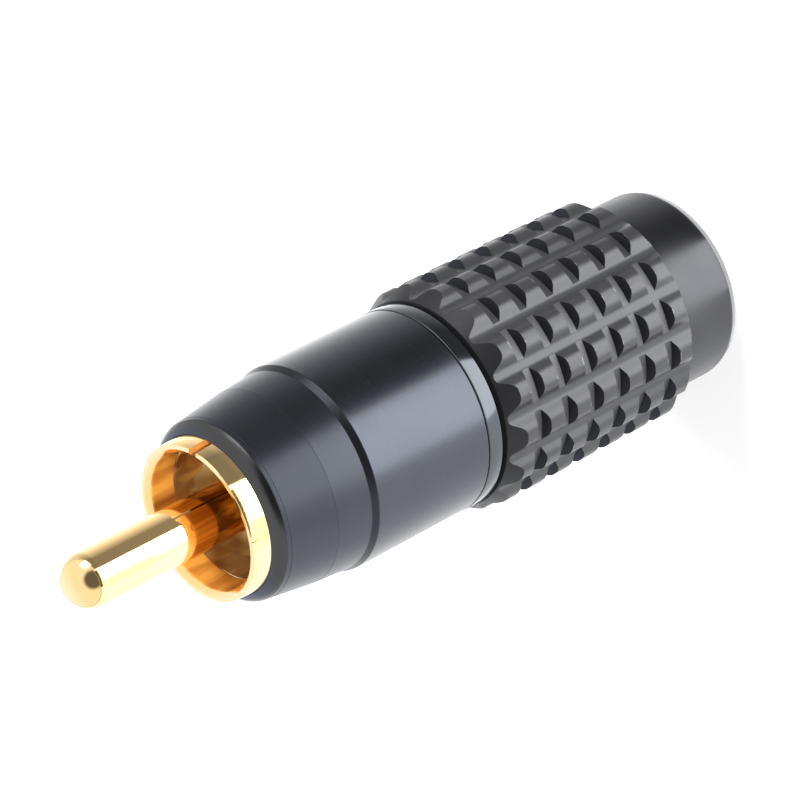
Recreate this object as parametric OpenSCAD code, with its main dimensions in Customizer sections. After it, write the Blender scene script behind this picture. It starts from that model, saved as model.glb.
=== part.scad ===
// Cable plug with a round center pin, a split ground sleeve and a screw-on fluted bushing.
// It stands on its rear end with the pin up. All sizes are in millimetres.

/* [Pin] */
// Radius of the center pin
pin_r = 1.6; // [1.5:0.05:1.7]
// How far the pin's tip stands past the sleeve's rim
pin_reach = 9.2; // [7:0.1:11]
// How much thinner than the pin its stem in the insulator is
pin_stem_step = 0.2; // [0.1:0.05:0.3]
// How far the pin's holding collar stands out inside the insulator
pin_collar_height = 0.5; // [0.3:0.05:0.8]
// Length of the holding collar
pin_collar_len = 1.0; // [0.6:0.1:1.4]
// How much thinner than the pin the solder cup at its rear is
cup_step = 0.35; // [0.1:0.05:0.4]
// Wall of the solder cup
cup_wall = 0.45; // [0.3:0.05:0.55]
// Length of the solder cup behind the insulator
cup_len = 5.0; // [3.5:0.1:5.5]
// Depth of the solder cup's hole
cup_depth = 3.4; // [2.6:0.1:4]
// Length of the solder cup that is cut open on one side
cup_open = 2.4; // [1.5:0.1:2.5]

/* [Sleeve] */
// Inner radius of the ground sleeve
sleeve_in_r = 4.13; // [4.05:0.01:4.2]
// Wall of the ground sleeve where it leaves the nose
sleeve_wall = 0.67; // [0.6:0.01:0.75]
// How much the sleeve narrows towards its rim
rim_step = 0.1; // [0.05:0.01:0.2]
// Depth of the funnel at the mouth
funnel_depth = 0.32; // [0.15:0.01:0.5]
// How much the funnel widens the mouth
funnel_step = 0.32; // [0.1:0.01:0.35]
// How far the sleeve stands out of the nose
sleeve_reach = 1.22; // [0.8:0.02:2]
// Width of the lengthwise slot
slot_w = 0.55; // [0.3:0.05:0.9]
// Length of the slot from the rim
slot_len = 6.6; // [4:0.1:7]
// Angle of the slot about the axis
slot_angle = -39.7; // [-180:0.1:180]
// How far the sleeve's barrel stands out behind the shell's shoulder
barrel_step = 0.25; // [0.2:0.01:0.35]
// How far the rear lip that stops the insulator stands in
lip_height = 0.73; // [0.5:0.01:0.9]
// Thickness of the rear lip
lip_len = 0.6; // [0.4:0.05:1]
// Length of the solder tongue behind the lip
tongue_len = 6.0; // [4:0.1:7]
// Wall of the solder tongue
tongue_wall = 0.5; // [0.3:0.05:0.5]
// Half of the angle that the solder tongue spans
tongue_half_angle = 50; // [30:1:70]

/* [Insulator] */
// Depth of the insulator's front face below the rim
insulator_depth = 7.7; // [7.1:0.1:8.2]
// Length of the insulator
insulator_len = 3.8; // [3:0.1:4.2]

/* [Shell] */
// How far the main barrel stands out over the coding ring's seat
main_step = 0.42; // [0.3:0.01:0.5]
// Length of the main barrel
main_len = 8.46; // [7.5:0.02:9.5]
// Length of the dark chamfer band in front of the main barrel
band_len = 0.42; // [0.3:0.02:0.6]
// How much the chamfer band narrows
band_step = 0.19; // [0.13:0.01:0.25]
// Length of the nose's rear cone
nose_rear_len = 2.28; // [1.8:0.02:2.8]
// How much the nose's rear cone narrows
nose_rear_step = 0.17; // [0.1:0.01:0.25]
// Length of the nose's front cone
nose_front_len = 3.39; // [3:0.02:4]
// How much the nose's front cone narrows
nose_front_step = 0.46; // [0.3:0.01:0.55]
// Axial length of the nose's front chamfer
nose_chamfer = 0.6; // [0.4:0.02:0.7]
// Distance from the nose's front to the inner shoulder
shoulder_depth = 2.85; // [2.4:0.05:3.4]
// Small bevel on the edges next to the coding ring
ring_bevel = 0.06; // [0.02:0.01:0.1]

/* [Coding ring] */
// How far the coding ring stands out over the main barrel
ring_step = 0.03; // [0:0.01:0.08]
// Length of the coding ring
ring_len = 1.02; // [0.8:0.02:1.2]
// Gap between the coding ring and the bushing
ring_gap = 0.29; // [0.2:0.01:0.5]

/* [Thread] */
// Wall of the spigot under its thread
spigot_wall = 0.42; // [0.35:0.01:0.5]
// Height of the thread
thread_height = 0.3; // [0.2:0.01:0.33]
// Clearance outside the thread
thread_clear = 0.05; // [0.03:0.01:0.08]
// Length of the spigot behind the coding ring
spigot_len = 6.4; // [5.5:0.1:7]
// Clearance at the spigot's rear end
spigot_end_clear = 0.3; // [0.2:0.05:0.6]
// Width of the two keyways in the spigot
keyway_w = 1.3; // [1:0.05:1.6]
// Length of the keyways
keyway_len = 5.9; // [5:0.1:6]

/* [Chuck] */
// Running clearance of the chuck and of the barrel in their bores
run_clear = 0.08; // [0.04:0.01:0.1]
// Wall of the chuck around the solder joints
chuck_wall = 0.81; // [0.7:0.01:0.9]
// How far the open gripping ridges stay outside the cable hole
finger_clear = 0.1; // [0.05:0.01:0.2]
// Height of the gripping ridges
grip_ridge = 0.15; // [0.05:0.01:0.2]
// Wall of the gripping fingers at their tips
finger_wall = 0.5; // [0.4:0.01:0.6]
// Length of the gripping fingers
finger_len = 6.0; // [5:0.1:7]
// Width of the cuts between the fingers
finger_cut_w = 0.8; // [0.5:0.05:1.2]
// How far the cuts run past the fingers' inner step
finger_cut_over = 0.6; // [0.3:0.1:1.5]
// Clearance of the keys in their keyways
key_clear = 0.06; // [0.04:0.01:0.1]
// Length of the keys
key_len = 5.3; // [4.5:0.1:5.4]

/* [Bushing] */
// How much thinner than the grip's crown the tail is
tail_step = 1.0; // [0.7:0.01:1.1]
// Length of the tail behind the grip
tail_len = 4.55; // [3.5:0.05:6]
// How much the bevel at the tail's rear edge narrows
tail_bevel = 0.2; // [0.1:0.02:0.4]
// Length of the bevel at the tail's rear edge
tail_bevel_len = 0.5; // [0.2:0.05:0.8]
// Depth of the flutes
flute_depth = 0.53; // [0.4:0.01:0.6]
// Length of the grip
grip_len = 15.06; // [14:0.02:16]
// How much the grip's front chamfer narrows
grip_front_step = 0.61; // [0.5:0.01:0.7]
// Length of the grip's front chamfer
grip_front_chamfer = 1.06; // [0.8:0.02:1.3]
// Bevel at the grip's rear edge
grip_rear_bevel = 0.48; // [0.3:0.02:0.5]
// Number of flutes round the grip
flute_count = 16; // [12:1:18]
// Wall of the bushing between the thread bore and the flute floors
bushing_wall = 0.55; // [0.5:0.01:0.7]
// Width of the flute floors
flute_floor_w = 0.5; // [0.3:0.02:0.7]
// Width of the crowns between the flutes
crown_w = 1.04; // [0.8:0.02:1.2]
// Width of the bevels along the crowns' two edges
crown_bevel = 0.15; // [0.05:0.01:0.2]
// Angle of the first flute about the axis
flute_angle = -3.7; // [-11:0.1:11]
// Number of ring notches
notch_count = 6; // [4:1:6]
// Spacing of the ring notches
notch_pitch = 2.14; // [1.9:0.02:2.2]
// Width of the ring notches at the crown
notch_w = 1.07; // [0.8:0.01:1.2]
// How far the notch floors stand over the flute floors
notch_rise = 0.05; // [0.02:0.01:0.2]
// Distance from the grip's front edge to the first notch
notch_start = 2.38; // [2.2:0.02:2.6]
// Radius of the cable hole
cable_r = 3.5; // [3.2:0.05:3.55]
// Length of the cable hole
cable_hole_len = 3.0; // [2.5:0.1:3.5]
// Bevel at the cable hole's mouth
cable_bevel = 0.4; // [0.2:0.05:0.6]
// Length of the squeezing cone
seat_len = 3.9; // [3:0.1:4.5]

/* [Hidden] */
$fn = 96;
bite = 1;
press_clear = 0.02;
seat_clear = 0.1;

sleeve_out_r = sleeve_in_r + sleeve_wall;
rim_r = sleeve_out_r - rim_step;
barrel_r = sleeve_out_r + barrel_step;
lip_r = sleeve_in_r - lip_height;
pin_stem_r = pin_r - pin_stem_step;
pin_collar_r = pin_r + pin_collar_height;
cup_r = pin_r - cup_step;
cup_hole_r = cup_r - cup_wall;

shell_bore_r = barrel_r + run_clear;
nose_bore_r = sleeve_out_r + press_clear;
thread_root_r = shell_bore_r + spigot_wall;
thread_r = thread_root_r + thread_height;
thread_bore_r = thread_r + thread_clear;
main_r = thread_r + main_step;
ring_r = main_r + ring_step;
nose_rear_r = main_r - band_step;
nose_mid_r = nose_rear_r - nose_rear_step;
nose_front_r = nose_mid_r - nose_front_step;

flute_floor_r = thread_bore_r + bushing_wall;
notch_floor_r = flute_floor_r + notch_rise;
crown_r = flute_floor_r + flute_depth;
grip_front_r = crown_r - grip_front_step;
tail_r = crown_r - tail_step;

chuck_r = barrel_r - run_clear / 2;
chuck_bore_r = chuck_r + run_clear;
chuck_in_r = chuck_r - chuck_wall;
finger_in_r = cable_r + finger_clear + grip_ridge;
finger_tip_r = finger_in_r + finger_wall;
seat_r = finger_tip_r + seat_clear;
key_r = thread_root_r;
key_w = keyway_w - 2 * key_clear;

grip_front_z = tail_len + grip_len;
ring_rear_z = grip_front_z + ring_gap;
main_rear_z = ring_rear_z + ring_len;
main_front_z = main_rear_z + main_len;
nose_rear_z = main_front_z + band_len;
nose_mid_z = nose_rear_z + nose_rear_len;
nose_front_z = nose_mid_z + nose_front_len;
nose_end_z = nose_front_z + nose_chamfer;
rim_z = nose_end_z + sleeve_reach;
tip_z = rim_z + pin_reach;

shoulder_z = nose_end_z - shoulder_depth;
insulator_front_z = rim_z - insulator_depth;
insulator_rear_z = insulator_front_z - insulator_len;
barrel_rear_z = insulator_rear_z - press_clear - lip_len;
tongue_rear_z = barrel_rear_z - tongue_len;
cup_rear_z = insulator_rear_z - cup_len;
collar_z = insulator_rear_z + insulator_len / 2;
pin_foot_z = insulator_front_z + press_clear;

spigot_rear_z = ring_rear_z - spigot_len;
keyway_front_z = spigot_rear_z + keyway_len;
thread_bore_z = spigot_rear_z - spigot_end_clear;

chuck_front_z = barrel_rear_z - seat_clear;
chuck_rear_z = cable_hole_len + seat_clear;
finger_front_z = chuck_rear_z + finger_len;
seat_front_z = cable_hole_len + seat_len;
finger_taper_z = chuck_rear_z + seat_len;
key_rear_z = spigot_rear_z + seat_clear;
key_front_z = key_rear_z + key_len;

flute_step = 360 / flute_count;
mouth_half_angle = flute_step / 2 - asin(crown_w / 2 / crown_r);
mouth_x = crown_r * sin(mouth_half_angle);
mouth_y = crown_r * cos(mouth_half_angle);
flute_slope = (mouth_x - flute_floor_w / 2) / (mouth_y - flute_floor_r);
wall_angle = atan(flute_slope);
wall_x = mouth_x - crown_bevel * sin(wall_angle);
wall_y = mouth_y - crown_bevel * cos(wall_angle);
bevel_x = mouth_x + crown_bevel * cos(mouth_half_angle);
bevel_y = mouth_y - crown_bevel * sin(mouth_half_angle);
bevel_slope = (bevel_x - wall_x) / (bevel_y - wall_y);
flute_top_x = wall_x + bevel_slope * bite;
notch_slope = tan(30);
notch_depth = crown_r - notch_floor_r;
notch_floor_w = notch_w - 2 * notch_slope * notch_depth;
notch_top_w = notch_w + 2 * notch_slope * bite;

// Outside of the bushing before the flutes and notches are cut
module bushing_blank() {
  rotate_extrude()
    polygon([
      [0, 0],
      [tail_r - tail_bevel, 0],
      [tail_r, tail_bevel_len],
      [tail_r, tail_len],
      [crown_r - grip_rear_bevel, tail_len],
      [crown_r, tail_len + grip_rear_bevel],
      [crown_r, grip_front_z - grip_front_chamfer],
      [grip_front_r, grip_front_z],
      [0, grip_front_z]
    ]);
}

// One V flute with a flat floor and bevelled mouth along the whole grip
module flute() {
  translate([0, 0, tail_len - bite])
    linear_extrude(height = grip_len + 2 * bite)
      polygon([
        [flute_floor_r, -flute_floor_w / 2],
        [wall_y, -wall_x],
        [wall_y + bite, -flute_top_x],
        [wall_y + bite, flute_top_x],
        [wall_y, wall_x],
        [flute_floor_r, flute_floor_w / 2]
      ]);
}

// One ring notch with slanted walls
module notch(z) {
  rotate_extrude()
    polygon([
      [notch_floor_r, z - notch_floor_w / 2],
      [crown_r + bite, z - notch_top_w / 2],
      [crown_r + bite, z + notch_top_w / 2],
      [notch_floor_r, z + notch_floor_w / 2]
    ]);
}

// Cable hole, squeezing cone, chuck bore and thread bore in one stepped hole
module bushing_hole() {
  rotate_extrude()
    polygon([
      [0, -bite],
      [cable_r + cable_bevel + bite, -bite],
      [cable_r, cable_bevel],
      [cable_r, cable_hole_len],
      [seat_r, cable_hole_len],
      [chuck_bore_r, seat_front_z],
      [chuck_bore_r, thread_bore_z],
      [thread_bore_r, thread_bore_z],
      [thread_bore_r, grip_front_z + bite],
      [0, grip_front_z + bite]
    ]);
}

module bushing() {
  color("dimgray")
    difference() {
      bushing_blank();
      for (i = [0 : flute_count - 1])
        rotate([0, 0, flute_angle + i * flute_step])
          flute();
      for (i = [0 : notch_count - 1])
        notch(grip_front_z - notch_start - i * notch_pitch);
      bushing_hole();
    }
}

// Two keys that slide in the spigot's keyways
module chuck_keys() {
  difference() {
    translate([-key_w / 2, -key_r, key_rear_z])
      cube([key_w, 2 * key_r, key_len]);
    translate([0, 0, key_rear_z - bite])
      cylinder(r = (chuck_in_r + chuck_r) / 2, h = key_len + 2 * bite);
  }
}

module chuck() {
  color("gray")
    difference() {
      union() {
        rotate_extrude()
          polygon([
            [finger_in_r, chuck_rear_z],
            [finger_tip_r, chuck_rear_z],
            [chuck_r, finger_taper_z],
            [chuck_r, chuck_front_z],
            [chuck_in_r, chuck_front_z],
            [chuck_in_r, finger_front_z],
            [finger_in_r, finger_front_z - (chuck_in_r - finger_in_r)],
            for (i = [3 : -1 : 1])
              for (k = [1 : -1 : -1])
                [finger_in_r - (k == 0 ? grip_ridge : 0), chuck_rear_z + i + k * grip_ridge * 2]
          ]);
        chuck_keys();
      }
      for (a = [45, 135])
        rotate([0, 0, a])
          translate([-finger_cut_w / 2, -chuck_r - bite, chuck_rear_z - bite])
            cube([finger_cut_w, 2 * chuck_r + 2 * bite, finger_len + finger_cut_over + bite]);
    }
}

module front_shell() {
  color("dimgray")
    difference() {
      rotate_extrude()
        polygon([
          [nose_bore_r, nose_end_z],
          [nose_front_r, nose_front_z],
          [nose_mid_r, nose_mid_z],
          [nose_rear_r, nose_rear_z],
          [main_r, main_front_z],
          [main_r, main_rear_z + ring_bevel],
          [main_r - ring_bevel, main_rear_z],
          [thread_r, main_rear_z],
          [thread_r, ring_rear_z],
          [thread_root_r, ring_rear_z],
          [thread_root_r, spigot_rear_z],
          [shell_bore_r, spigot_rear_z],
          [shell_bore_r, shoulder_z],
          [nose_bore_r, shoulder_z]
        ]);
      translate([-keyway_w / 2, -thread_r, spigot_rear_z - bite])
        cube([keyway_w, 2 * thread_r, keyway_len + bite]);
    }
}

module coding_ring() {
  color("silver")
    rotate_extrude()
      polygon([
        [thread_r + press_clear, ring_rear_z],
        [ring_r - ring_bevel, ring_rear_z],
        [ring_r, ring_rear_z + ring_bevel],
        [ring_r, main_rear_z - press_clear - ring_bevel],
        [ring_r - ring_bevel, main_rear_z - press_clear],
        [thread_r + press_clear, main_rear_z - press_clear]
      ]);
}

// Solder tongue, a part of a tube behind the rear lip
module tongue() {
  intersection() {
    rotate_extrude()
      polygon([
        [lip_r, tongue_rear_z],
        [lip_r + tongue_wall, tongue_rear_z],
        [lip_r + tongue_wall, barrel_rear_z + lip_len / 2],
        [lip_r, barrel_rear_z + lip_len / 2]
      ]);
    translate([0, 0, tongue_rear_z - bite])
      linear_extrude(height = tongue_len + lip_len + 2 * bite)
        polygon([
          [0, 0],
          [2 * barrel_r, -2 * barrel_r * tan(tongue_half_angle)],
          [2 * barrel_r, 2 * barrel_r * tan(tongue_half_angle)]
        ]);
  }
}

module ground_sleeve() {
  color("gold")
    difference() {
      union() {
        rotate_extrude()
          polygon([
            [sleeve_in_r + funnel_step, rim_z],
            [rim_r, rim_z],
            [sleeve_out_r, nose_end_z],
            [sleeve_out_r, shoulder_z - press_clear],
            [barrel_r, shoulder_z - press_clear],
            [barrel_r, barrel_rear_z],
            [lip_r, barrel_rear_z],
            [lip_r, barrel_rear_z + lip_len],
            [sleeve_in_r, barrel_rear_z + lip_len],
            [sleeve_in_r, rim_z - funnel_depth]
          ]);
        tongue();
      }
      rotate([0, 0, slot_angle])
        translate([sleeve_in_r - bite, -slot_w / 2, rim_z - slot_len])
          cube([barrel_r - sleeve_in_r + 2 * bite, slot_w, slot_len + bite]);
    }
}

module insulator() {
  color("white")
    difference() {
      translate([0, 0, insulator_rear_z])
        cylinder(r = sleeve_in_r - press_clear, h = insulator_len);
      translate([0, 0, insulator_rear_z - bite])
        cylinder(r = pin_stem_r + press_clear, h = insulator_len + 2 * bite);
      translate([0, 0, collar_z - pin_collar_len / 2 - press_clear])
        cylinder(r = pin_collar_r + press_clear, h = pin_collar_len + 2 * press_clear);
    }
}

module center_pin() {
  color("gold")
    difference() {
      union() {
        translate([0, 0, pin_foot_z])
          cylinder(r = pin_r, h = tip_z - pin_r - pin_foot_z);
        translate([0, 0, insulator_rear_z])
          cylinder(r = pin_stem_r, h = insulator_len + bite);
        translate([0, 0, tip_z - pin_r])
          sphere(r = pin_r);
        translate([0, 0, collar_z - pin_collar_len / 2])
          cylinder(r = pin_collar_r, h = pin_collar_len);
        translate([0, 0, cup_rear_z])
          cylinder(r = cup_r, h = cup_len + bite);
      }
      translate([0, 0, cup_rear_z - bite])
        cylinder(r = cup_hole_r, h = cup_depth + bite);
      translate([0, -cup_r - bite, cup_rear_z - bite])
        cube([cup_r + bite, 2 * cup_r + 2 * bite, cup_open + bite]);
    }
}

bushing();
chuck();
front_shell();
coding_ring();
ground_sleeve();
insulator();
center_pin();
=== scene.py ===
"""Dresses the cable plug.

Turned black metal shell and fluted bushing, satin ring, gold pin and split gold sleeve.
"""

import math

import bmesh
import bpy
from mathutils import Matrix, Vector


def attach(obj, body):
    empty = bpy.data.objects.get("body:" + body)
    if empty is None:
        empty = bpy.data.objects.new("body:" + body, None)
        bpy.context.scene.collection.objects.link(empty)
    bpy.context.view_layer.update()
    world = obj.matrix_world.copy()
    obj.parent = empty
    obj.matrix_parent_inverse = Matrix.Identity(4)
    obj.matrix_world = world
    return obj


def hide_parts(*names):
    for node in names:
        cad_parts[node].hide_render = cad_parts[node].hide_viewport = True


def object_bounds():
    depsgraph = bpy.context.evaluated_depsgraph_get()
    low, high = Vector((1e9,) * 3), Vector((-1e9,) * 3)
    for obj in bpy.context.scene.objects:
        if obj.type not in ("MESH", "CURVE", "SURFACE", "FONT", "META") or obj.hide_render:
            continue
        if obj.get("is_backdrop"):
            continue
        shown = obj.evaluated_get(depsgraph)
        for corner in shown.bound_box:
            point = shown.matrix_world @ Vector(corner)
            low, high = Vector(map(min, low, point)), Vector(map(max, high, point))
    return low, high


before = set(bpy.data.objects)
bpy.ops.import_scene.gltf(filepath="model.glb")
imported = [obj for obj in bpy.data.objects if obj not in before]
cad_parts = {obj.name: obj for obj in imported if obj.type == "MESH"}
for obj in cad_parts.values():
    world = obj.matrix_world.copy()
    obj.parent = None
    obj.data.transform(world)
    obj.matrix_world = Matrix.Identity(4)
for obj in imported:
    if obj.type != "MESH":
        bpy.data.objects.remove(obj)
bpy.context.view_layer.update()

MM = 0.001

# Lengths along the axis, in millimetres from the rear end
TAIL_TOP = 4.55
GRIP_TOP = 19.61
RING_REAR = 19.90
MAIN_REAR = 20.92
MAIN_FRONT = 29.38
NOSE_REAR = 29.80
NOSE_MID = 32.08
NOSE_FRONT = 35.47
NOSE_END = 36.07
RIM = 37.29
BORE_LINE = RIM - 1.9
TIP = 46.49
SHOULDER = 33.22
INSULATOR_FRONT = 29.59
INSULATOR_REAR = 25.79
BARREL_REAR = 25.17
SPIGOT_REAR = 13.50
KEYWAY_FRONT = 19.40

# Radii, in millimetres
PIN_R = 1.6
STEM_R = 1.4
CUP_R = 1.25
CUP_HOLE_R = 0.8
SLEEVE_IN_R = 4.13
SLEEVE_OUT_R = 4.8
RIM_R = 4.7
MOUTH_R = 4.45
BARREL_R = 5.05
SLEEVE_LIP_R = 3.4
SHELL_BORE_R = 5.13
NOSE_BORE_R = 4.82
THREAD_ROOT_R = 5.55
THREAD_R = 5.85
MAIN_R = 6.27
RING_R = 6.3
NOSE_REAR_R = 6.08
NOSE_MID_R = 5.91
NOSE_FRONT_R = 5.45
TAIL_R = 5.98
CROWN_R = 6.98
FLUTE_FLOOR_R = 6.45
NOTCH_FLOOR_R = 6.5
GRIP_FRONT_R = 6.37
CABLE_R = 3.5
CHUCK_BORE_R = 5.09
TAIL_BEVEL = 0.2
TAIL_BEVEL_LEN = 0.5

# Clearances between pieces, and how far two forms of one piece run into each other
SEAT_GAP = 0.02
THREAD_PLAY = 0.05
SPIGOT_PLAY = 0.3
OVERLAP = 0.1


def mesh_object(name, bm, *materials):
    """Makes a finished mesh an object of the scene."""
    mesh = bpy.data.meshes.new(name)
    bm.to_mesh(mesh)
    bm.free()
    for material in materials:
        mesh.materials.append(material)
    made = bpy.data.objects.new(name, mesh)
    bpy.context.scene.collection.objects.link(made)
    return made


def finish_piece(name, bm, body, slot, *materials, stands_for, sharp=32):
    """Makes a piece of the mesh, smooth with sharp corners, and lets it ride on its body."""
    bmesh.ops.transform(bm, matrix=Matrix.Scale(MM, 4), verts=bm.verts)
    piece = mesh_object(name, bm, *materials)
    piece.data.shade_smooth()
    piece.data.set_sharp_from_angle(angle=math.radians(sharp))
    weighted = piece.modifiers.new("even_shading", "WEIGHTED_NORMAL")
    weighted.keep_sharp = True
    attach(piece, body)
    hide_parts(*stands_for)


def closed_outline(bm, points):
    """A closed wire in the XZ plane through (radius, height) points."""
    corners = [bm.verts.new((r, 0, z)) for r, z in points]
    edges = [bm.edges.new((a, b)) for a, b in zip(corners, corners[1:] + corners[:1])]
    return corners + edges


def turned(points, steps):
    """A solid of revolution about Z from a closed outline."""
    bm = bmesh.new()
    bmesh.ops.spin(
        bm,
        geom=closed_outline(bm, points),
        cent=(0, 0, 0),
        axis=(0, 0, 1),
        angle=2 * math.pi,
        steps=steps,
        use_merge=True,
    )
    bmesh.ops.remove_doubles(bm, verts=bm.verts, dist=1e-5)
    bmesh.ops.recalc_face_normals(bm, faces=bm.faces)
    return bm


def fine_line(low, high, height, width, depth):
    """Four (radius, height) points of a shallow line cut across a straight wall, from its top."""

    def wall(z):
        return low[0] + (high[0] - low[0]) * (z - low[1]) / (high[1] - low[1])

    rises = (width / 2, width / 4, -width / 4, -width / 2)
    cuts = (0, depth, depth, 0)
    return [(wall(height + rise) - cut, height + rise) for rise, cut in zip(rises, cuts)]


def bulged(first, last, rise, steps):
    """Points between two (radius, height) corners, on a shallow round outside their line."""
    run = Vector(last) - Vector(first)
    out = Vector((-run.y, run.x)).normalized()
    shares = [step / steps for step in range(1, steps)]
    return [
        tuple(Vector(first) + run * share + out * 4 * rise * share * (1 - share))
        for share in shares
    ]


def round_rings(bm, rings):
    """Rounds the circular edges at the given (radius, height, size) places."""
    for radius, height, size in rings:
        edges = [
            e
            for e in bm.edges
            if all(
                abs(v.co.z - height) < 1e-3 and abs(v.co.xy.length - radius) < 1e-3
                for v in e.verts
            )
        ]
        bmesh.ops.bevel(
            bm,
            geom=edges,
            offset=size,
            segments=3,
            profile=0.5,
            affect="EDGES",
            material=-1,
        )


def arc_sector(bm, points, start, sweep, steps, rise=0.0):
    """A closed sector: a flat outline swept about Z from the start angle, climbing by rise."""
    turn = Matrix.Rotation(start, 4, "Z")
    corners = [bm.verts.new(turn @ Vector((r, 0, z))) for r, z in points]
    face = bm.faces.new(corners)
    bmesh.ops.spin(
        bm,
        geom=[face, *face.edges, *face.verts],
        cent=(0, 0, 0),
        axis=(0, 0, 1),
        dvec=(0, 0, rise / steps),
        angle=sweep,
        steps=steps,
    )


# Materials


def start_material(name, roughness, metallic=0.0):
    """A node material with its shader and Object coordinates."""
    material = bpy.data.materials.new(name)
    material.use_nodes = True
    nodes, links = material.node_tree.nodes, material.node_tree.links
    shader = nodes["Principled BSDF"]
    shader.inputs["Roughness"].default_value = roughness
    shader.inputs["Metallic"].default_value = metallic
    place = nodes.new("ShaderNodeTexCoord").outputs["Object"]
    return material, nodes, links, shader, place


def noise(nodes, links, place, scale, detail=3.0):
    """Noise at so many grains per metre."""
    texture = nodes.new("ShaderNodeTexNoise")
    texture.inputs["Scale"].default_value = scale
    texture.inputs["Detail"].default_value = detail
    links.new(place, texture.inputs["Vector"])
    return texture.outputs["Fac"]


def spread(nodes, links, value, low, high, to_low, to_high):
    """Maps a range of a value to another range, clamped."""
    node = nodes.new("ShaderNodeMapRange")
    links.new(value, node.inputs["Value"])
    node.inputs["From Min"].default_value = low
    node.inputs["From Max"].default_value = high
    node.inputs["To Min"].default_value = to_low
    node.inputs["To Max"].default_value = to_high
    return node.outputs["Result"]


def blend_colours(nodes, links, factor, first, second):
    """Mixes two colours, each given as numbers or as a socket."""
    node = nodes.new("ShaderNodeMix")
    node.data_type = "RGBA"
    links.new(factor, node.inputs["Factor"])
    for socket, colour in ((node.inputs[6], first), (node.inputs[7], second)):
        if isinstance(colour, bpy.types.NodeSocket):
            links.new(colour, socket)
        else:
            socket.default_value = (*colour, 1)
    return node.outputs[2]


def bump(nodes, links, shader, height, distance, strength):
    """Fine relief of the surface."""
    node = nodes.new("ShaderNodeBump")
    node.inputs["Strength"].default_value = strength
    node.inputs["Distance"].default_value = distance
    links.new(height, node.inputs["Height"])
    links.new(node.outputs["Normal"], shader.inputs["Normal"])


def axis_height(nodes, links, place):
    """Height of a point along the plug's axis, in metres."""
    node = nodes.new("ShaderNodeSeparateXYZ")
    links.new(place, node.inputs[0])
    return node.outputs["Z"]


def turning_marks(nodes, links, place, scale):
    """Fine rings round the axis, as a lathe leaves them."""
    height = axis_height(nodes, links, place)
    rings = nodes.new("ShaderNodeTexNoise")
    rings.noise_dimensions = "1D"
    rings.inputs["Scale"].default_value = scale
    rings.inputs["Detail"].default_value = 2.0
    links.new(height, rings.inputs["W"])
    return rings.outputs["Fac"]


def attribute(nodes, name):
    """A number that the mesh carries."""
    node = nodes.new("ShaderNodeAttribute")
    node.attribute_name = name
    return node.outputs["Fac"]


def multiply(nodes, links, first, second):
    """Product of two values."""
    node = nodes.new("ShaderNodeMath")
    node.operation = "MULTIPLY"
    links.new(first, node.inputs[0])
    links.new(second, node.inputs[1])
    return node.outputs[0]


def turned_metal(name, dark, light, smooth, rough, nose_rough):
    """Dark plated metal with faint clouding and turning marks, a little duller on the nose."""
    material, nodes, links, shader, place = start_material(name, smooth, 1.0)
    cloud = spread(nodes, links, noise(nodes, links, place, 260), 0.35, 0.65, 0, 1)
    links.new(blend_colours(nodes, links, cloud, dark, light), shader.inputs["Base Color"])
    marks = turning_marks(nodes, links, place, 5000)
    height = axis_height(nodes, links, place)
    duller = spread(
        nodes, links, height, MAIN_FRONT * MM, NOSE_REAR * MM, 1.0, nose_rough / rough
    )
    base = spread(nodes, links, marks, 0.3, 0.7, smooth, rough)
    links.new(multiply(nodes, links, base, duller), shader.inputs["Roughness"])
    bump(nodes, links, shader, marks, 0.000004, 0.001)
    return material


def grip_metal(name, dark, light, smooth, rough):
    """Dark plated metal: a smooth tail, a blasted grip, rougher cut faces darkened by painted
    shade, and paler worn edges.
    """
    material, nodes, links, shader, place = start_material(name, smooth, 1.0)
    cloud = spread(nodes, links, noise(nodes, links, place, 260), 0.35, 0.65, 0, 1)
    colour = blend_colours(nodes, links, cloud, dark, light)
    cut = attribute(nodes, "dull_and_shade")
    # Painted shade: forward-facing cut faces are mixed towards near black
    colour = blend_colours(nodes, links, cut, colour, (0.010, 0.010, 0.011))
    patches = noise(nodes, links, place, 2600)
    wear = multiply(
        nodes,
        links,
        attribute(nodes, "edge_wear"),
        spread(nodes, links, patches, 0.54, 0.62, 0, 1),
    )
    colour = blend_colours(nodes, links, wear, colour, (0.24, 0.24, 0.25))
    links.new(colour, shader.inputs["Base Color"])
    grain = noise(nodes, links, place, 9000, 2.0)
    height = axis_height(nodes, links, place)
    blasted = spread(
        nodes, links, height, (TAIL_TOP - 0.05) * MM, TAIL_TOP * MM, 0.0, 1.0
    )
    blasted_skin = multiply(
        nodes,
        links,
        spread(nodes, links, blasted, 0, 1, 0.0, 0.45),
        spread(nodes, links, cut, 0, 0.2, 1.0, 0.2),
    )
    links.new(spread(nodes, links, blasted_skin, 0, 1, 1, 0), shader.inputs["Metallic"])
    duller = multiply(
        nodes,
        links,
        spread(nodes, links, blasted, 0, 1, 1.35, 1.3),
        spread(nodes, links, cut, 0, 1, 1.0, 1.3),
    )
    base = spread(nodes, links, grain, 0.3, 0.7, smooth, rough)
    links.new(multiply(nodes, links, base, duller), shader.inputs["Roughness"])
    bump(nodes, links, shader, grain, 0.000004, 0.04)
    return material


def gold(name, light, deep, smooth, rough, relief, metallic=1.0):
    """Gold plating with a slight colour drift and polishing marks."""
    material, nodes, links, shader, place = start_material(name, smooth, metallic)
    drift = spread(nodes, links, noise(nodes, links, place, 420), 0.35, 0.65, 0, 1)
    colour = blend_colours(nodes, links, drift, light, deep)
    links.new(colour, shader.inputs["Base Color"])
    marks = noise(nodes, links, place, 6000, 2.0)
    links.new(
        spread(nodes, links, marks, 0.35, 0.65, smooth, rough),
        shader.inputs["Roughness"],
    )
    bump(nodes, links, shader, marks, 0.000003, relief)
    return material


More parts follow.
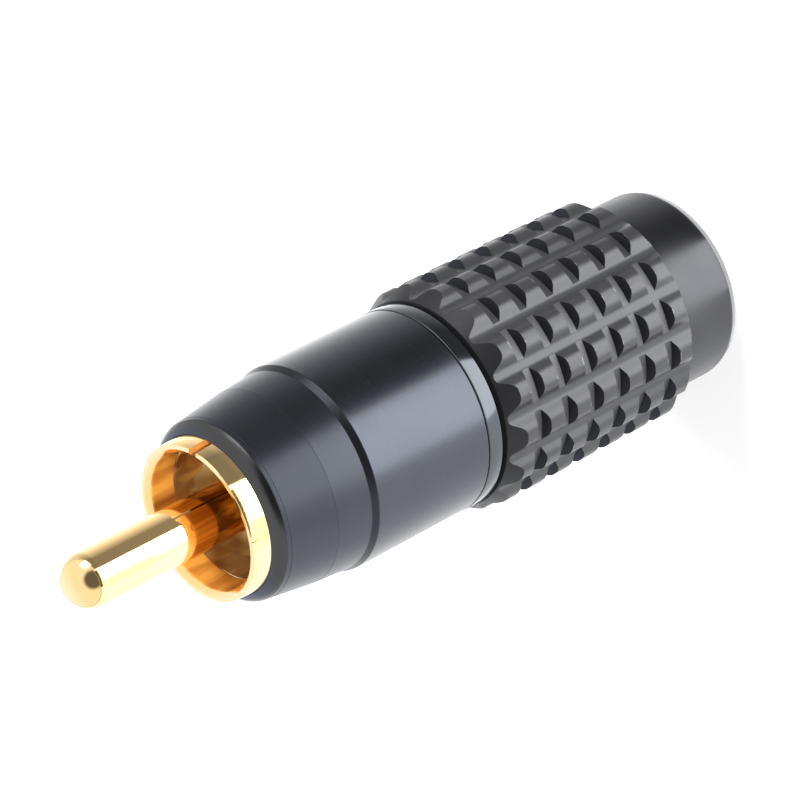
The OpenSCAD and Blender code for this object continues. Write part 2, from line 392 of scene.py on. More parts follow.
def bore_gold(name):
    """Gold of the sleeve's bore: painted lengthwise reflection streaks at the mouth; wavy below
    it, with browner painted reflection patches.
    """
    material, nodes, links, shader, place = start_material(name, 0.1, 1.0)
    height = axis_height(nodes, links, place)
    at_mouth = spread(
        nodes, links, height, (BORE_LINE - 0.05) * MM, (BORE_LINE + 0.05) * MM, 0, 1
    )
    drawn_out = nodes.new("ShaderNodeMapping")
    drawn_out.inputs["Scale"].default_value = (1, 1, 0.08)
    links.new(place, drawn_out.inputs["Vector"])
    # Painted reflection streaks, drawn out along the axis
    painted_streaks = noise(nodes, links, drawn_out.outputs["Vector"], 1500)
    painted_streak_colour = blend_colours(
        nodes,
        links,
        spread(nodes, links, painted_streaks, 0.42, 0.60, 0, 1),
        (0.74, 0.28, 0.04),
        (1.0, 0.46, 0.075),
    )
    # Painted reflection patches, browner in places
    painted_patches = noise(nodes, links, place, 420, 1.0)
    painted_patch_colour = blend_colours(
        nodes,
        links,
        spread(nodes, links, painted_patches, 0.44, 0.56, 0, 1),
        (0.55, 0.27, 0.08),
        (1.0, 0.73, 0.31),
    )
    colour = blend_colours(nodes, links, at_mouth, painted_patch_colour, painted_streak_colour)
    links.new(colour, shader.inputs["Base Color"])
    links.new(spread(nodes, links, at_mouth, 0, 1, 0.75, 0.08), shader.inputs["Metallic"])
    links.new(spread(nodes, links, at_mouth, 0, 1, 0.07, 0.35), shader.inputs["Roughness"])
    bump(nodes, links, shader, noise(nodes, links, place, 500, 1.0), 0.00012, 0.6)
    return material


def moulded_plastic(name, first, second, roughness):
    """Matte moulded plastic with a fine eroded skin."""
    material, nodes, links, shader, place = start_material(name, roughness)
    skin = noise(nodes, links, place, 3500)
    links.new(
        blend_colours(
            nodes, links, spread(nodes, links, skin, 0.3, 0.7, 0, 1), first, second
        ),
        shader.inputs["Base Color"],
    )
    bump(nodes, links, shader, skin, 0.00002, 0.25)
    return material


shell_black = turned_metal(
    "shell_black",
    dark=(0.049, 0.052, 0.062),
    light=(0.053, 0.056, 0.066),
    smooth=0.272,
    rough=0.282,
    nose_rough=0.33,
)
# Painted shade: a darker copy of the shell's metal for the band between barrel and nose
band_painted_shade = turned_metal(
    "band_painted_shade",
    dark=(0.036, 0.038, 0.044),
    light=(0.040, 0.042, 0.048),
    smooth=0.29,
    rough=0.30,
    nose_rough=0.33,
)
# Painted highlight: a lighter, smoother copy of the shell's metal for the nose's front lip
lip_painted_highlight = turned_metal(
    "lip_painted_highlight",
    dark=(0.070, 0.070, 0.070),
    light=(0.077, 0.077, 0.077),
    smooth=0.24,
    rough=0.26,
    nose_rough=0.26,
)
grip_black = grip_metal(
    "grip_black",
    dark=(0.043, 0.043, 0.046),
    light=(0.049, 0.049, 0.052),
    smooth=0.28,
    rough=0.33,
)
# Painted highlight: a lighter copy of the black metal for the tail's rear bevel
tail_edge_highlight = turned_metal(
    "tail_edge_highlight",
    dark=(0.20, 0.20, 0.205),
    light=(0.24, 0.24, 0.245),
    smooth=0.30,
    rough=0.36,
    nose_rough=0.36,
)
# Painted highlight: a lighter copy of the ring's metal for its upward-facing front bevel
ring_edge_highlight = turned_metal(
    "ring_edge_highlight",
    dark=(0.085, 0.085, 0.088),
    light=(0.10, 0.10, 0.103),
    smooth=0.30,
    rough=0.36,
    nose_rough=0.36,
)
ring_satin = turned_metal(
    "ring_satin",
    dark=(0.060, 0.065, 0.072),
    light=(0.065, 0.070, 0.077),
    smooth=0.12,
    rough=0.14,
    nose_rough=0.14,
)
gold_plate = gold(
    "gold_plate",
    light=(1.0, 0.70, 0.33),
    deep=(0.98, 0.67, 0.30),
    smooth=0.05,
    rough=0.09,
    relief=0.04,
)
gold_inside = bore_gold("gold_inside")
gold_cut = gold(
    "gold_cut",
    light=(0.72, 0.30, 0.06),
    deep=(0.95, 0.50, 0.14),
    smooth=0.45,
    rough=0.62,
    relief=0.6,
    metallic=0.1,
)
chuck_plastic = moulded_plastic(
    "chuck_plastic", (0.020, 0.020, 0.022), (0.035, 0.035, 0.037), 0.5
)
insulator_plastic = moulded_plastic(
    "insulator_plastic", (0.74, 0.73, 0.69), (0.82, 0.81, 0.77), 0.45
)


# Front shell with its threaded spigot

SPIN_STEPS = 240
SPIGOT_STEPS = 96
THREAD_STEPS = 48
RING_BEVEL = 0.06
NOSE_LIP_RISE = 0.075
NOSE_LIP_STEPS = 8

# Fine turned lines of the nose
FRONT_LINE = NOSE_FRONT - 0.27
FRONT_LINE_W = 0.08
FRONT_LINE_DEPTH = 0.016
MID_LINE = NOSE_MID + 0.05
MID_LINE_W = 0.04
MID_LINE_DEPTH = 0.008

nose_low, nose_high = (NOSE_MID_R, NOSE_MID), (NOSE_FRONT_R, NOSE_FRONT)

shell = turned(
    [
        (NOSE_BORE_R, NOSE_END),
        *bulged((NOSE_BORE_R, NOSE_END), nose_high, NOSE_LIP_RISE, NOSE_LIP_STEPS),
        (NOSE_FRONT_R, NOSE_FRONT),
        *fine_line(nose_low, nose_high, FRONT_LINE, FRONT_LINE_W, FRONT_LINE_DEPTH),
        *fine_line(nose_low, nose_high, MID_LINE, MID_LINE_W, MID_LINE_DEPTH),
        (NOSE_MID_R, NOSE_MID),
        (NOSE_REAR_R, NOSE_REAR),
        (MAIN_R, MAIN_FRONT),
        (MAIN_R, MAIN_REAR + RING_BEVEL),
        (MAIN_R - RING_BEVEL, MAIN_REAR),
        (THREAD_R, MAIN_REAR),
        (THREAD_R, RING_REAR),
        (THREAD_ROOT_R, RING_REAR),
        (THREAD_ROOT_R, KEYWAY_FRONT),
        (SHELL_BORE_R, KEYWAY_FRONT),
        (SHELL_BORE_R, SHOULDER),
        (NOSE_BORE_R, SHOULDER),
    ],
    SPIN_STEPS,
)
round_rings(
    shell,
    [
        (NOSE_FRONT_R, NOSE_FRONT, 0.05),
        (NOSE_REAR_R, NOSE_REAR, 0.03),
        (MAIN_R, MAIN_FRONT, 0.04),
    ],
)

KEYWAY_W = 1.3
keyway_angle = KEYWAY_W / THREAD_ROOT_R
half_sweep = math.pi - keyway_angle
for side in (0, 1):
    start = math.pi / 2 + keyway_angle / 2 + side * math.pi
    arc_sector(
        shell,
        [
            (SHELL_BORE_R, SPIGOT_REAR),
            (THREAD_ROOT_R, SPIGOT_REAR),
            (THREAD_ROOT_R, KEYWAY_FRONT + OVERLAP),
            (SHELL_BORE_R, KEYWAY_FRONT + OVERLAP),
        ],
        start,
        half_sweep,
        SPIGOT_STEPS,
    )

# Screw thread, half a turn at a time so that the keyways stay open
THREAD_PITCH = 0.5
THREAD_START = SPIGOT_REAR + 0.3
THREAD_FOOT_HALF = 0.2
THREAD_TIP_HALF = 0.04
THREAD_TIP_R = THREAD_R - 0.01
THREAD_SUNK_R = THREAD_ROOT_R - 0.05
HALF_TURNS = 21
for half_turn in range(HALF_TURNS):
    start = math.pi / 2 + keyway_angle / 2 + half_turn * math.pi
    crest = THREAD_START + half_turn * THREAD_PITCH / 2
    arc_sector(
        shell,
        [
            (THREAD_SUNK_R, crest - THREAD_FOOT_HALF),
            (THREAD_ROOT_R, crest - THREAD_FOOT_HALF),
            (THREAD_TIP_R, crest - THREAD_TIP_HALF),
            (THREAD_TIP_R, crest + THREAD_TIP_HALF),
            (THREAD_ROOT_R, crest + THREAD_FOOT_HALF),
            (THREAD_SUNK_R, crest + THREAD_FOOT_HALF),
        ],
        start,
        half_sweep,
        THREAD_STEPS,
        rise=THREAD_PITCH / 2 * half_sweep / math.pi,
    )
bmesh.ops.recalc_face_normals(shell, faces=shell.faces)
for face in shell.faces:
    middle = face.calc_center_median()
    # The band between barrel and nose takes the painted shade copy
    if MAIN_FRONT + 0.03 < middle.z < NOSE_REAR and middle.xy.length > NOSE_MID_R:
        face.material_index = 1
    # The nose's front lip takes the painted highlight copy
    elif middle.z > NOSE_FRONT and middle.xy.length > NOSE_BORE_R + 0.001:
        face.material_index = 2
finish_piece(
    "shell",
    shell,
    "front",
    "black_metal_shell",
    shell_black,
    band_painted_shade,
    lip_painted_highlight,
    stands_for=["front_shell"],
)


# Coding ring

ring = turned(
    [
        (THREAD_R + SEAT_GAP, RING_REAR),
        (RING_R, RING_REAR),
        (RING_R, MAIN_REAR - SEAT_GAP),
        (THREAD_R + SEAT_GAP, MAIN_REAR - SEAT_GAP),
    ],
    SPIN_STEPS,
)
round_rings(
    ring,
    [(RING_R, RING_REAR, RING_BEVEL), (RING_R, MAIN_REAR - SEAT_GAP, RING_BEVEL)],
)
# The ring's upward-facing front bevel takes the painted highlight copy
for face in ring.faces:
    if face.normal.z > 0.25 and face.calc_center_median().xy.length > RING_R - RING_BEVEL:
        face.material_index = 1
finish_piece(
    "ring",
    ring,
    "front",
    "ring_satin",
    ring_satin,
    ring_edge_highlight,
    stands_for=["coding_ring"],
)


# Ground sleeve with its lengthwise slot and solder tongue

SLEEVE_STEPS = 300
SLOT_STEPS = 6
SLOT_ANGLE = math.radians(-39.7)
SLOT_END = RIM - 6.6
FUNNEL_DEPTH = 0.32
BORE_LINE_W = 0.12
BORE_LINE_DEPTH = 0.06
TONGUE_STEPS = 32
TONGUE_LEN = 6.0
TONGUE_T = 0.5
TONGUE_HALF = math.radians(50)
slot_half = SLOT_STEPS / 2 * 2 * math.pi / SLEEVE_STEPS

bore_low, bore_high = (SLEEVE_IN_R, SLOT_END), (SLEEVE_IN_R, RIM)

sleeve = turned(
    [
        (MOUTH_R, RIM),
        (RIM_R, RIM),
        (SLEEVE_OUT_R, NOSE_END),
        (SLEEVE_OUT_R, SHOULDER - SEAT_GAP),
        (BARREL_R, SHOULDER - SEAT_GAP),
        (BARREL_R, SLOT_END),
        (BARREL_R, BARREL_REAR),
        (SLEEVE_LIP_R, BARREL_REAR),
        (SLEEVE_LIP_R, INSULATOR_REAR - SEAT_GAP),
        (SLEEVE_IN_R, INSULATOR_REAR - SEAT_GAP),
        (SLEEVE_IN_R, SLOT_END),
        *reversed(fine_line(bore_low, bore_high, BORE_LINE, BORE_LINE_W, -BORE_LINE_DEPTH)),
        (SLEEVE_IN_R, RIM - FUNNEL_DEPTH),
    ],
    SLEEVE_STEPS,
)
round_rings(
    sleeve,
    [
        (RIM_R, RIM, 0.05),
        (MOUTH_R, RIM, 0.05),
        (SLEEVE_IN_R, RIM - FUNNEL_DEPTH, 0.08),
    ],
)
bmesh.ops.rotate(
    sleeve,
    verts=sleeve.verts,
    cent=(0, 0, 0),
    matrix=Matrix.Rotation(SLOT_ANGLE + slot_half, 3, "Z"),
)


def slot_offset(point):
    """Angle of a point from the middle of the slot."""
    away = math.atan2(point.y, point.x) - SLOT_ANGLE
    return (away + math.pi) % (2 * math.pi) - math.pi


bmesh.ops.delete(
    sleeve,
    geom=[
        f
        for f in sleeve.faces
        if f.calc_center_median().z > SLOT_END
        and abs(slot_offset(f.calc_center_median())) < slot_half
    ],
    context="FACES",
)
for side in (-1, 1):
    wall = [
        e
        for e in sleeve.edges
        if e.is_boundary
        and all(abs(slot_offset(v.co) - side * slot_half) < 1e-3 for v in e.verts)
    ]
    for made in bmesh.ops.contextual_create(sleeve, geom=wall)["faces"]:
        made.material_index = 1
slot_floor = [e for e in sleeve.edges if e.is_boundary]
for made in bmesh.ops.holes_fill(sleeve, edges=slot_floor, sides=0)["faces"]:
    made.material_index = 1
for face in sleeve.faces:
    middle = face.calc_center_median()
    if face.material_index == 0 and middle.xy.length < SLEEVE_IN_R + BORE_LINE_DEPTH + 0.005:
        face.material_index = 2
bmesh.ops.recalc_face_normals(sleeve, faces=sleeve.faces)
arc_sector(
    sleeve,
    [
        (SLEEVE_LIP_R, BARREL_REAR - TONGUE_LEN),
        (SLEEVE_LIP_R + TONGUE_T, BARREL_REAR - TONGUE_LEN),
        (SLEEVE_LIP_R + TONGUE_T, BARREL_REAR + OVERLAP),
        (SLEEVE_LIP_R, BARREL_REAR + OVERLAP),
    ],
    -TONGUE_HALF,
    2 * TONGUE_HALF,
    TONGUE_STEPS,
)
bmesh.ops.recalc_face_normals(sleeve, faces=sleeve.faces)
finish_piece(
    "sleeve",
    sleeve,
    "front",
    "gold_plate",
    gold_plate,
    gold_cut,
    gold_inside,
    stands_for=["ground_sleeve"],
)


# Center pin with a round tip and a solder cup

PIN_STEPS = 128
TIP_STEPS = 14
CUP_LEN = 5.0
CUP_DEPTH = 3.4
CUP_REAR = INSULATOR_REAR - CUP_LEN
tip_arc = [
    (
        PIN_R * math.sin(math.pi / 2 * i / TIP_STEPS),
        TIP - PIN_R + PIN_R * math.cos(math.pi / 2 * i / TIP_STEPS),
    )
    for i in range(TIP_STEPS + 1)
]
pin = turned(
    tip_arc
    + [
        (PIN_R, INSULATOR_FRONT + SEAT_GAP),
        (STEM_R, INSULATOR_FRONT + SEAT_GAP),
        (STEM_R, INSULATOR_REAR),
        (CUP_R, INSULATOR_REAR),
        (CUP_R, CUP_REAR),
        (CUP_HOLE_R, CUP_REAR),
        (CUP_HOLE_R, CUP_REAR + CUP_DEPTH),
        (0, CUP_REAR + CUP_DEPTH),
    ],
    PIN_STEPS,
)
finish_piece("pin", pin, "front", "gold_plate", gold_plate, stands_for=["center_pin"])


# Bushing: one closed outline is turned, and its columns then take the section of the flutes

FLUTES = 16
FLUTE_ANGLE = math.radians(-3.7)
FLUTE_FLOOR_W = 0.5
CROWN_W = 1.04
NOTCHES = 6
NOTCH_PITCH = 2.14
NOTCH_W = 1.07
NOTCH_START = 2.38
NOTCH_SLOPE = math.tan(math.radians(30))
GRIP_REAR_BEVEL = 0.48
GRIP_FRONT_CHAMFER = 1.06
SHOULDER_ROUND = 0.75
VALLEY_ROUND = 0.5
EDGE_BREAK = 0.03
NEAR = 0.01

# Cone for the chuck's fingers and the cable hole behind it
CONE_FRONT = 6.9
CONE_REAR = 3.0
CONE_REAR_R = 4.35
CABLE_CHAMFER = 0.4

# How far the faces that look forward take a rougher finish and a painted shade that darkens them
NOTCH_DULL_AND_SHADE = 0.65
RIDGE_END_DULL_AND_SHADE = 0.25

flute_step = 2 * math.pi / FLUTES
crown_edge = flute_step / 2 - math.asin(CROWN_W / 2 / CROWN_R)
wall_foot = Vector((FLUTE_FLOOR_R, FLUTE_FLOOR_W / 2))
wall_head = Vector((CROWN_R * math.cos(crown_edge), CROWN_R * math.sin(crown_edge)))
wall_way = (wall_head - wall_foot).normalized()
into_ridge = Vector((-wall_way.y, wall_way.x))


def arc_points(centre, first, last, steps):
    """Points on the short arc about a centre from one point to another."""
    start, end = first - centre, last - centre
    sweep = start.angle_signed(end)
    return [
        centre + Matrix.Rotation(-sweep * i / steps, 2) @ start for i in range(steps + 1)
    ]


def line_share(point, way, radius):
    """Distance along a line at which it leaves the circle of a radius about the axis."""
    b = point.dot(way)
    return -b + math.sqrt(b * b - point.dot(point) + radius * radius)


def ridge_section():
    """Half of a flute and ridge seen along the axis: floor, round valley, wall, round shoulder."""
    valley_way = (Vector((1, 0)) - into_ridge) / (1 - into_ridge.x)
    valley = wall_foot + valley_way * VALLEY_ROUND
    valley_start = Vector((FLUTE_FLOOR_R, valley.y))
    valley_end = valley + into_ridge * VALLEY_ROUND
    inset = wall_foot + into_ridge * SHOULDER_ROUND
    shoulder = inset + wall_way * line_share(inset, wall_way, CROWN_R - SHOULDER_ROUND)
    shoulder_start = shoulder - into_ridge * SHOULDER_ROUND
    shoulder_end = shoulder.normalized() * CROWN_R
    return [
        Vector((FLUTE_FLOOR_R, 0)),
        *arc_points(valley, valley_start, valley_end, 4),
        *arc_points(shoulder, shoulder_start, shoulder_end, 6),
    ]


section = ridge_section()
for i, (near, far) in enumerate(zip(section, section[1:])):
    if near.length < NOTCH_FLOOR_R < far.length:
        way = (far - near).normalized()
        section.insert(i + 1, near + way * line_share(near, way, NOTCH_FLOOR_R))
        break
half_angles = [math.atan2(point.y, point.x) for point in section]
half_radii = [point.length for point in section]
crown_gap = flute_step - 2 * half_angles[-1]
columns = [
    *half_angles,
    *[half_angles[-1] + crown_gap * i / 4 for i in (1, 2, 3)],
    *[flute_step - angle for angle in reversed(half_angles[1:])],
]
column_radii = [*half_radii, CROWN_R, CROWN_R, CROWN_R, *reversed(half_radii[1:])]

# A slanted wall has a row at each of these radii of the section
levels = [radius for radius in half_radii if radius > NOTCH_FLOOR_R + 1e-4]
levels[-1:] = [CROWN_R]


def wall_rows(foot, head, radii):
    """Rows of a slanted wall of the grip from its foot to its head, both (radius, height)."""
    return [
        (r, foot[1] + (head[1] - foot[1]) * (r - foot[0]) / (head[0] - foot[0]))
        for r in radii
    ]


notch_floor_w = NOTCH_W - 2 * NOTCH_SLOPE * (CROWN_R - NOTCH_FLOOR_R)
rear_foot = (NOTCH_FLOOR_R, TAIL_TOP)
rear_head = (CROWN_R, TAIL_TOP + GRIP_REAR_BEVEL)
grip_rows = wall_rows(rear_foot, rear_head, [NOTCH_FLOOR_R, *levels])
for i in reversed(range(NOTCHES)):
    middle = GRIP_TOP - NOTCH_START - i * NOTCH_PITCH
    for side in (-1, 1):
        rows = wall_rows(
            (NOTCH_FLOOR_R, middle + side * notch_floor_w / 2),
            (CROWN_R, middle + side * NOTCH_W / 2),
            [NOTCH_FLOOR_R, *levels],
        )
        rows.append((CROWN_R, middle + side * (NOTCH_W / 2 + EDGE_BREAK)))
        grip_rows += rows[::side]
front_levels = [GRIP_FRONT_R] + [r for r in half_radii if r < CROWN_R - 1e-4] + [CROWN_R]
grip_rows += wall_rows(
    (GRIP_FRONT_R, GRIP_TOP),
    (CROWN_R, GRIP_TOP - GRIP_FRONT_CHAMFER),
    sorted(set(front_levels), reverse=True),
)

bushing = turned(
    grip_rows
    + [
        (THREAD_R + THREAD_PLAY, GRIP_TOP),
        (THREAD_R + THREAD_PLAY, SPIGOT_REAR - SPIGOT_PLAY),
        (CHUCK_BORE_R, SPIGOT_REAR - SPIGOT_PLAY),
        (CHUCK_BORE_R, CONE_FRONT),
        (CONE_REAR_R, CONE_REAR),
        (CABLE_R, CONE_REAR),
        (CABLE_R, CABLE_CHAMFER),
        (CABLE_R + CABLE_CHAMFER, 0.0),
        (TAIL_R - TAIL_BEVEL, 0.0),
        (TAIL_R, TAIL_BEVEL_LEN),
        (TAIL_R, TAIL_TOP),
    ],
    FLUTES * len(columns),
)
outer_grip = set()
for v in bushing.verts:
    turn = math.atan2(v.co.y, v.co.x) % (2 * math.pi)
    column = round(turn / (2 * math.pi) * FLUTES * len(columns))
    sector, place = divmod(column, len(columns))
    angle = FLUTE_ANGLE + sector * flute_step + columns[place]
    radius = v.co.xy.length
    if radius > GRIP_FRONT_R - NEAR:
        radius = min(radius, column_radii[place])
        outer_grip.add(v)
    v.co = (radius * math.cos(angle), radius * math.sin(angle), v.co.z)

# Pad corners: the notch wall and the flute wall meet along the diagonal from the highest corner
for face in list(bushing.faces):
    if len(face.verts) == 4 and all(v in outer_grip for v in face.verts):
        heights = sorted((v.co.xy.length, i) for i, v in enumerate(face.verts))
        if heights[3][0] - heights[2][0] > 0.001:
            high = heights[3][1]
            corners = list(face.verts)
            bmesh.utils.face_split(face, corners[high], corners[(high + 2) % 4])

bushing.normal_update()
worn = bushing.loops.layers.float.new("edge_wear")
# Marks forward-facing cut faces for a rougher finish and painted shade
cut = bushing.loops.layers.float.new("dull_and_shade")
for face in bushing.faces:
    spans = [v.co.z for v in face.verts]
    on_crown = all(v.co.xy.length > CROWN_R - 0.02 for v in face.verts)
    at_notch = on_crown and max(spans) - min(spans) < 2 * EDGE_BREAK
    on_grip = min(v.co.xy.length for v in face.verts) > GRIP_FRONT_R - NEAR
    at_front = min(spans) > GRIP_TOP - GRIP_FRONT_CHAMFER - NEAR
    dull_and_shade_share = 0.0
    if face.normal.z > 0.3 and on_grip:
        dull_and_shade_share = RIDGE_END_DULL_AND_SHADE if at_front else NOTCH_DULL_AND_SHADE
    for corner in face.loops:
        corner[worn] = float(at_notch)
        corner[cut] = dull_and_shade_share
round_rings(
    bushing,
    [(TAIL_R, TAIL_BEVEL_LEN, 0.15), (TAIL_R - TAIL_BEVEL, 0.0, 0.1)],
)
bmesh.ops.recalc_face_normals(bushing, faces=bushing.faces)
# The tail's rear bevel takes the painted highlight copy
for face in bushing.faces:
    middle = face.calc_center_median()
    if middle.z < TAIL_BEVEL_LEN and middle.xy.length > TAIL_R - TAIL_BEVEL:
        face.material_index = 1
finish_piece(
    "grip_bushing",
    bushing,
    "bushing",
    "black_metal_grip",
    grip_black,
    tail_edge_highlight,
    stands_for=["bushing"],
    sharp=17,
)


# Inner pieces keep their solids and get their plastics


def paint(node, material):
    """Gives a solid of the frame its material."""
    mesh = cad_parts[node].data
    mesh.materials.clear()
    mesh.materials.append(material)


paint("chuck", chuck_plastic)
paint("insulator", insulator_plastic)


# Floor, reflector cards, lamps and camera


def light_mix(nodes, links, rays):
    """Adds up the Light Path outputs that are named, clamped at one."""
    path = nodes.new("ShaderNodeLightPath")
    total = path.outputs[rays[0]]
    for ray in rays[1:]:
        add = nodes.new("ShaderNodeMath")
        add.operation = "ADD"
        add.use_clamp = True
        links.new(total, add.inputs[0])
        links.new(path.outputs[ray], add.inputs[1])
        total = add.outputs[0]
    return total


# Cards start under the walls, and dim between these distances from the axis
CARD_FOOT_R = 6.2
DIM_FROM = 48
DIM_TO = 100

FLOOR_R = 3000
FLOOR_COLOUR = (0.85, 0.85, 0.85, 1)
FLOOR_LIFT = 0.45
SEEN_RAYS = ["Is Camera Ray", "Is Glossy Ray", "Is Transmission Ray"]


def make_floor():
    """A pale floor that keeps the shadow and reads as white."""
    material = bpy.data.materials.new("pale_floor")
    material.use_nodes = True
    nodes, links = material.node_tree.nodes, material.node_tree.links
    shader = nodes["Principled BSDF"]
    shader.inputs["Base Color"].default_value = FLOOR_COLOUR
    shader.inputs["Roughness"].default_value = 0.9
    shader.inputs["Specular IOR Level"].default_value = 0.0
    shader.inputs["Emission Color"].default_value = (1, 1, 1, 1)
    lift = nodes.new("ShaderNodeMath")
    lift.operation = "MULTIPLY"
    lift.inputs[1].default_value = FLOOR_LIFT
    links.new(light_mix(nodes, links, SEEN_RAYS), lift.inputs[0])
    links.new(lift.outputs[0], shader.inputs["Emission Strength"])
    bm = bmesh.new()
    bmesh.ops.create_circle(bm, cap_ends=True, segments=96, radius=FLOOR_R * MM)
    floor = mesh_object("floor", bm, material)
    floor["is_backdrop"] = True


def glowing(name):
    """A material that only gives light, and its glow."""
    material = bpy.data.materials.new(name)
    material.use_nodes = True
    nodes, links = material.node_tree.nodes, material.node_tree.links
    nodes.remove(nodes["Principled BSDF"])
    glow = nodes.new("ShaderNodeEmission")
    links.new(glow.outputs[0], nodes["Material Output"].inputs["Surface"])
    return material, glow


def hide_from_all_but_metal(card):
    """Leaves a card to mirror reflections alone."""
    card.visible_camera = False
    card.visible_diffuse = False
    card.visible_shadow = False
    card.visible_transmission = False


def make_card(name, facing, levels, reach=(0, 400), far_share=0.4, height=0.05):
    """A floor card that only the metal sees, under the part of the walls that faces so far round.

    Walls that face an angle from the camera mirror the floor in twice that angle, so each
    strip of the card starts under such a wall and runs out along its mirrored sight line.
    The level changes evenly from the first to the second number across the card, and the
    card gets dimmer with the distance.
    """
    material, glow = glowing(name)
    nodes, links = material.node_tree.nodes, material.node_tree.links
    glow.inputs["Color"].default_value = (0.98, 0.99, 1.0, 1)
    level = spread(nodes, links, attribute(nodes, "across"), 0, 1, *levels)
    place = nodes.new("ShaderNodeTexCoord").outputs["Object"]
    distance = nodes.new("ShaderNodeVectorMath")
    distance.operation = "LENGTH"
    links.new(place, distance.inputs[0])
    dim = spread(
        nodes, links, distance.outputs["Value"], DIM_FROM * MM, DIM_TO * MM, 1, far_share
    )
    links.new(multiply(nodes, links, level, dim), glow.inputs["Strength"])

    bm = bmesh.new()
    bmesh.ops.create_grid(bm, x_segments=24, y_segments=12, size=0.5)
    layer = bm.verts.layers.float.new("across")
    for v in bm.verts:
        share, out = v.co.x + 0.5, v.co.y + 0.5
        turn = math.radians(facing[0] + (facing[1] - facing[0]) * share)
        run = reach[0] + (reach[1] - reach[0]) * out
        x = -CARD_FOOT_R * math.sin(turn) - run * math.sin(2 * turn)
        y = -CARD_FOOT_R * math.cos(turn) - run * math.cos(2 * turn)
        v[layer] = share
        v.co = Vector((x, y, height)) * MM
    card = mesh_object(name, bm, material)
    hide_from_all_but_metal(card)
    card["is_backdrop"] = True


def make_upright_card(name, azimuth, distance, width, foot, head, level):
    """A standing white card that only the metal sees, facing the axis. Lengths in millimetres."""
    material, glow = glowing(name)
    glow.inputs["Strength"].default_value = level
    bm = bmesh.new()
    bmesh.ops.create_grid(bm, x_segments=1, y_segments=1, size=0.5)
    turn = Matrix.Rotation(math.radians(azimuth), 4, "Z")
    for v in bm.verts:
        rise = foot + (head - foot) * (v.co.y + 0.5)
        v.co = turn @ Vector((distance, v.co.x * width, rise)) * MM
    card = mesh_object(name, bm, material)
    hide_from_all_but_metal(card)
    card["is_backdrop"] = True


def make_lamp(name, place, aim, size, power):
    """A square soft lamp that metal doesn't mirror, aimed at a point. Lengths in millimetres."""
    lamp = bpy.data.lights.new(name, "AREA")
    lamp.size = size * MM
    lamp.energy = power
    holder = bpy.data.objects.new(name, lamp)
    holder.visible_glossy = False
    holder.location = Vector(place) * MM
    holder.rotation_euler = (Vector(aim) - Vector(place)).to_track_quat("-Z", "Y").to_euler()
    bpy.context.scene.collection.objects.link(holder)


def patch(nodes, links, sight, azimuth, lift, inner, outer, near, away):
    """Level near a direction and away from it, with a soft edge between two angles, in degrees."""
    turn, rise = math.radians(azimuth), math.radians(lift)
    towards = nodes.new("ShaderNodeVectorMath")
    towards.operation = "DOT_PRODUCT"
    towards.inputs[1].default_value = (
        math.cos(rise) * math.cos(turn),
        math.cos(rise) * math.sin(turn),
        math.sin(rise),
    )
    links.new(sight, towards.inputs[0])
    return spread(
        nodes,
        links,
        towards.outputs["Value"],
        math.cos(math.radians(outer)),
        math.cos(math.radians(inner)),
        away,
        near,
    )


ROOM_LEVEL = 0.42
MIRRORED_LEVEL = 1.12
MIRRORED_BACK = 1.3


def make_world():
    """A pale room. Metal mirrors it brighter, cool at the back and dark about the camera."""
    world = bpy.data.worlds.new("studio")
    bpy.context.scene.world = world
    world.use_nodes = True
    nodes, links = world.node_tree.nodes, world.node_tree.links
    background = nodes["Background"]
    path = nodes.new("ShaderNodeLightPath")
    sight = nodes.new("ShaderNodeTexCoord").outputs["Generated"]
    behind = patch(
        nodes, links, sight, azimuth=90, lift=30, inner=15, outer=60, near=1.0, away=0.0
    )
    camera_side = patch(
        nodes, links, sight, azimuth=-98, lift=17, inner=30, outer=44, near=0.13, away=1.0
    )
    mirrored = multiply(
        nodes,
        links,
        spread(nodes, links, behind, 0, 1, MIRRORED_LEVEL, MIRRORED_BACK),
        camera_side,
    )
    cool = multiply(nodes, links, behind, path.outputs["Is Glossy Ray"])
    links.new(
        blend_colours(nodes, links, cool, (1, 1, 1), (0.86, 1.0, 1.32)),
        background.inputs["Color"],
    )
    strength = nodes.new("ShaderNodeMix")
    links.new(path.outputs["Is Glossy Ray"], strength.inputs["Factor"])
    strength.inputs["A"].default_value = ROOM_LEVEL
    links.new(mirrored, strength.inputs["B"])
    white = nodes.new("ShaderNodeMix")
    links.new(path.outputs["Is Camera Ray"], white.inputs["Factor"])
    links.new(strength.outputs["Result"], white.inputs["A"])
    white.inputs["B"].default_value = 1.0
    links.new(white.outputs["Result"], background.inputs["Strength"])


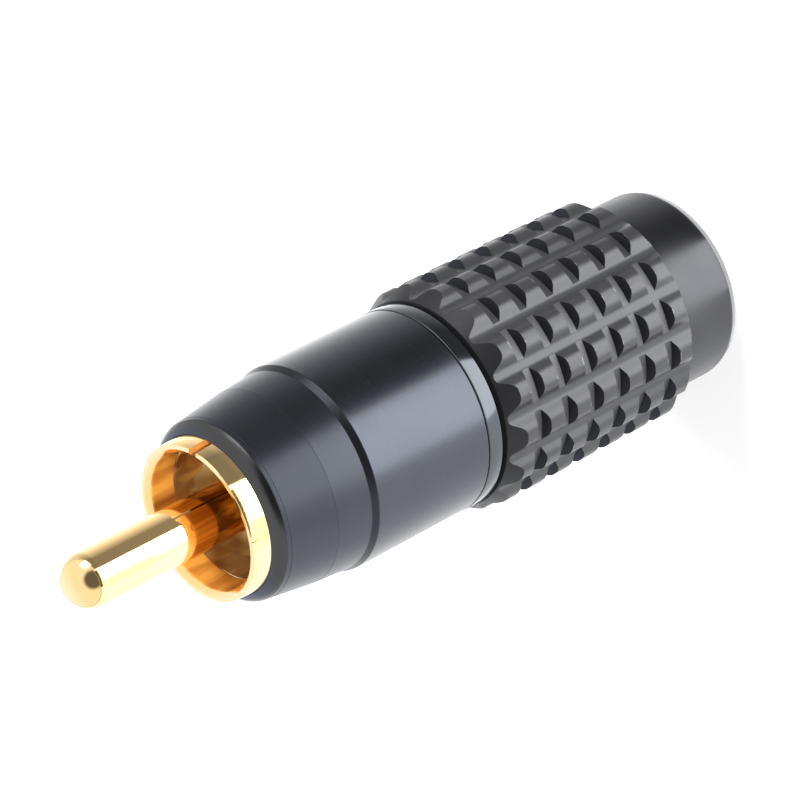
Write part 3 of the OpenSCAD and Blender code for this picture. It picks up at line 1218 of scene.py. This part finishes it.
CAMERA_PLACE = (0, -181.91, 149.53)
CAMERA_AZIMUTH = math.radians(-0.31)
CAMERA_ELEVATION = math.radians(35.17)
CAMERA_ROLL = math.radians(-117.07)


def make_camera():
    """The photograph's camera: a long lens, well above the horizon and rolled."""
    camera = bpy.data.cameras.new("camera")
    camera.sensor_width = 36
    camera.lens = 174.97
    camera.clip_start = 0.01
    camera.clip_end = 20
    holder = bpy.data.objects.new("camera", camera)
    turn = (
        Matrix.Rotation(CAMERA_AZIMUTH, 4, "Z")
        @ Matrix.Rotation(math.pi / 2 - CAMERA_ELEVATION, 4, "X")
        @ Matrix.Rotation(CAMERA_ROLL, 4, "Z")
    )
    holder.matrix_world = Matrix.Translation(Vector(CAMERA_PLACE) * MM) @ turn
    bpy.context.scene.collection.objects.link(holder)
    bpy.context.scene.camera = holder


make_floor()

# Cards that the metal mirrors, the flat ones under the walls that face these angles
make_card("bright_card", (-12, 20), (7.0, 7.0), far_share=0.45)
make_card("grey_card", (20, 85), (2.9, 1.6), far_share=0.85)
make_card("dark_card", (-34, -12), (0.33, 0.33), far_share=0.75)
make_card("shade_card", (-62, -34), (1.6, 0.32), far_share=0.62)
make_card("rim_card", (-85, -62), (2.8, 1.6), far_share=0.55)
make_card("seam_card", (26.8, 27.8), (0.35, 0.35), reach=(46, 400), height=0.1)
make_upright_card(
    "side_card", azimuth=-29, distance=260, width=150, foot=10, head=140, level=3.8
)
make_card("foot_card", (-89, 89), (2.0, 2.0), reach=(-1.2, 0.2), height=0.02)
make_card(
    "far_dark_card", (-9, 24), (0.15, 0.15), reach=(190, 1500), far_share=1.0, height=0.15
)
make_card("nose_card", (15, 35), (1.8, 1.9), reach=(64, 160), far_share=1.0, height=0.1)

make_lamp("top_softbox", place=(70, 0, 240), aim=(0, 0, 30), size=60, power=0.30)
make_lamp("key_softbox", place=(-50, -280, 120), aim=(0, 0, 36), size=45, power=0.62)
make_lamp("side_softbox", place=(230, -130, 20), aim=(0, 0, 12), size=60, power=1.25)
make_world()
make_camera()
bpy.context.scene.view_settings.view_transform = "Standard"

low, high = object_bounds()
